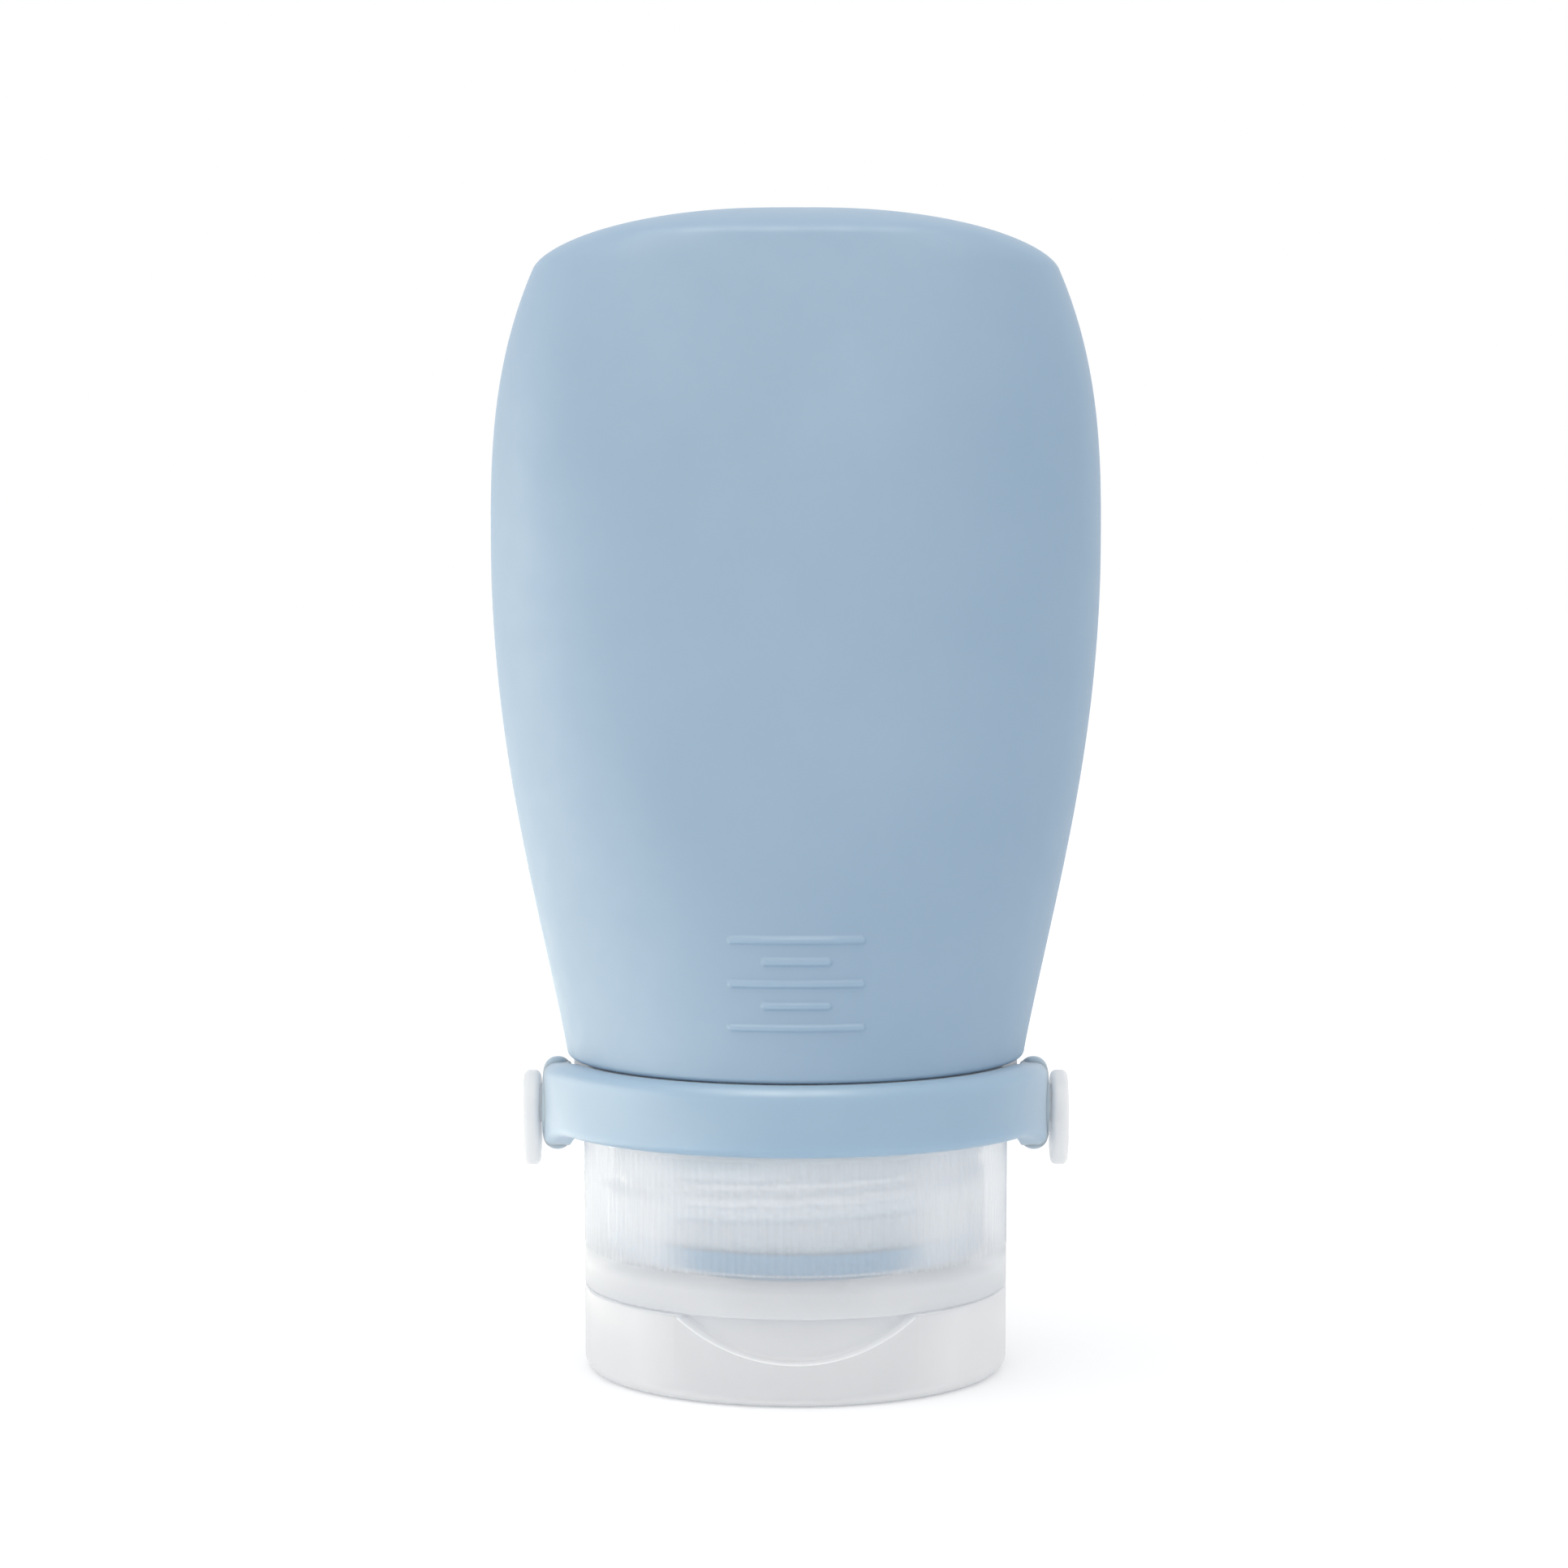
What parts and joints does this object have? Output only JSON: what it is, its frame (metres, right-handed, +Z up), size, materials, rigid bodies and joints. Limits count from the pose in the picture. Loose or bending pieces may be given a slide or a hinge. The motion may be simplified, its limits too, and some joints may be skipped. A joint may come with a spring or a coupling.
{
  "type": "travel squeeze bottle",
  "caption": "Flattened silicone squeeze bottle for toiletries, standing on a translucent flip-top screw cap, with a silicone strap buttoned round its collar.",
  "frame": {"origin": "middle of the flip lid's outer face, on which the bottle stands upside down", "axes": "+Z up along the bottle's axis, from the lid to the closed end of the body; -Y towards the lid's thumb recess (front); +X to the right seen from the front"},
  "size_m": [0.0497, 0.0385, 0.0948],
  "materials": {
    "silicone_blue": "satin, smooth moulded silicone",
    "plastic_frosted": "frosted translucent polypropylene"
  },
  "bodies": {
    "bottle": {"bottle_body": "silicone_blue", "neck_insert": "plastic_frosted", "stud_collar": "plastic_frosted"},
    "gasket": {"cap_gasket": "silicone_blue"},
    "cap": {"cap_base": "plastic_frosted", "dispensing_valve": "silicone_blue", "valve_retainer": "plastic_frosted", "living_hinge": "plastic_frosted"},
    "lid": {"flip_lid": "plastic_frosted"},
    "strap": {"strap": "silicone_blue"}
  },
  "joints": [
    {"name": "cap_lift", "type": "slide", "parent": "bottle", "child": "gasket", "axis": [0, 0, -1], "range_m": [0, 0.0072]},
    {"name": "cap_turn", "type": "hinge", "parent": "gasket", "child": "cap", "pos_m": [0, 0, 0.0135], "axis": [0, 0, -1], "range_deg": [0, 810]},
    {"name": "lid_hinge", "type": "hinge", "parent": "cap", "child": "lid", "pos_m": [0, 0.0175, 0.007], "axis": [1, 0, 0], "range_deg": [0, 135], "deforming": ["living_hinge"]},
    {"name": "strap_swing", "type": "hinge", "parent": "bottle", "child": "strap", "pos_m": [0, 0, 0.02174], "axis": [1, 0, 0], "range_deg": [0, 10]}
  ],
  "couplings": [
    {"joint": "cap_lift", "follows": "cap_turn", "m_per_rad": 0.0005093}
  ]
}
